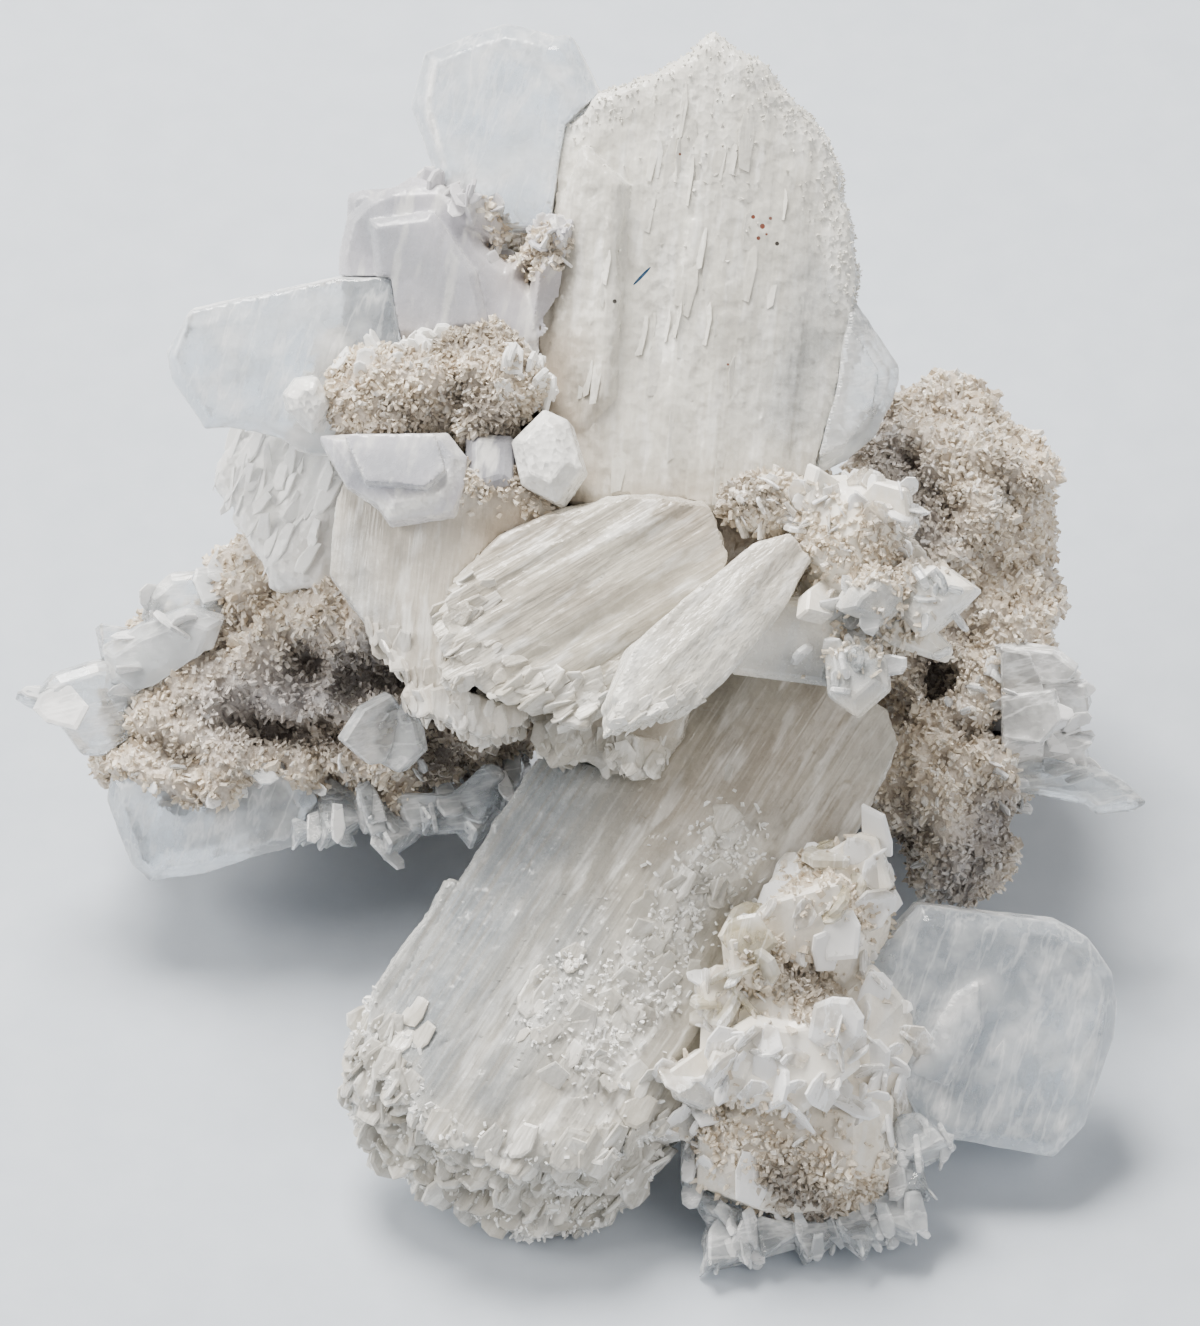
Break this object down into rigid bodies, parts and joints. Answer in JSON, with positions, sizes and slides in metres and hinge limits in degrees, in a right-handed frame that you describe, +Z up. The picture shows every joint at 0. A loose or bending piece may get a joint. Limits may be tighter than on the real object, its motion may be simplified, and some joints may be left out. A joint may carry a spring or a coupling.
{
  "type": "stilbite cluster",
  "caption": "Stilbite cluster: striated milky blades and clear tabular crystals grown together on a beige drusy matrix rock, lying on its matrix with the crystals raised.",
  "frame": {"origin": "middle of the footprint at the lowest point", "axes": "+Z up, +X to the right of the display face, which looks toward -Y and up"},
  "size_m": [0.085, 0.0766, 0.0609],
  "materials": {
    "milky_crystal": "translucent milky white, pearly, finely striated",
    "sparkling_crystal": "translucent warm grey-white with a sugary, sparkling face",
    "clear_crystal": "clear to faintly milky, glassy faces",
    "lilac_crystal": "translucent lilac-grey, smooth and pearly",
    "cream_crystal": "translucent cream white plates, glassy edges",
    "drusy_rock": "beige to grey-brown rock under a fine sparkling druse"
  },
  "bodies": {
    "root": {"narrow_blade": "milky_crystal", "fan_blade": "milky_crystal", "centre_left_blade": "milky_crystal", "pointed_white_crystal": "milky_crystal", "shelf_plate": "lilac_crystal", "grey_plate": "lilac_crystal", "small_white_crystal": "milky_crystal", "big_upper_blade": "sparkling_crystal", "upper_side_lobe": "clear_crystal", "left_clear_blade": "clear_crystal", "left_block": "lilac_crystal", "top_clear_crystal": "clear_crystal", "under_fan_blade": "milky_crystal", "lower_big_blade": "milky_crystal", "lower_right_clear_plate": "clear_crystal", "left_white_sheaf": "milky_crystal", "lower_left_prism": "clear_crystal", "matrix_rock": "drusy_rock", "centre_right_cluster": "cream_crystal", "druse_knob": "drusy_rock", "lower_right_rosette": "cream_crystal", "foot_crystals": "clear_crystal", "twin_plates": "clear_crystal", "left_tip_crystals": "clear_crystal", "lower_left_points": "clear_crystal", "right_ledge_plates": "clear_crystal", "spike_crystal": "clear_crystal"}
  },
  "joints": []
}
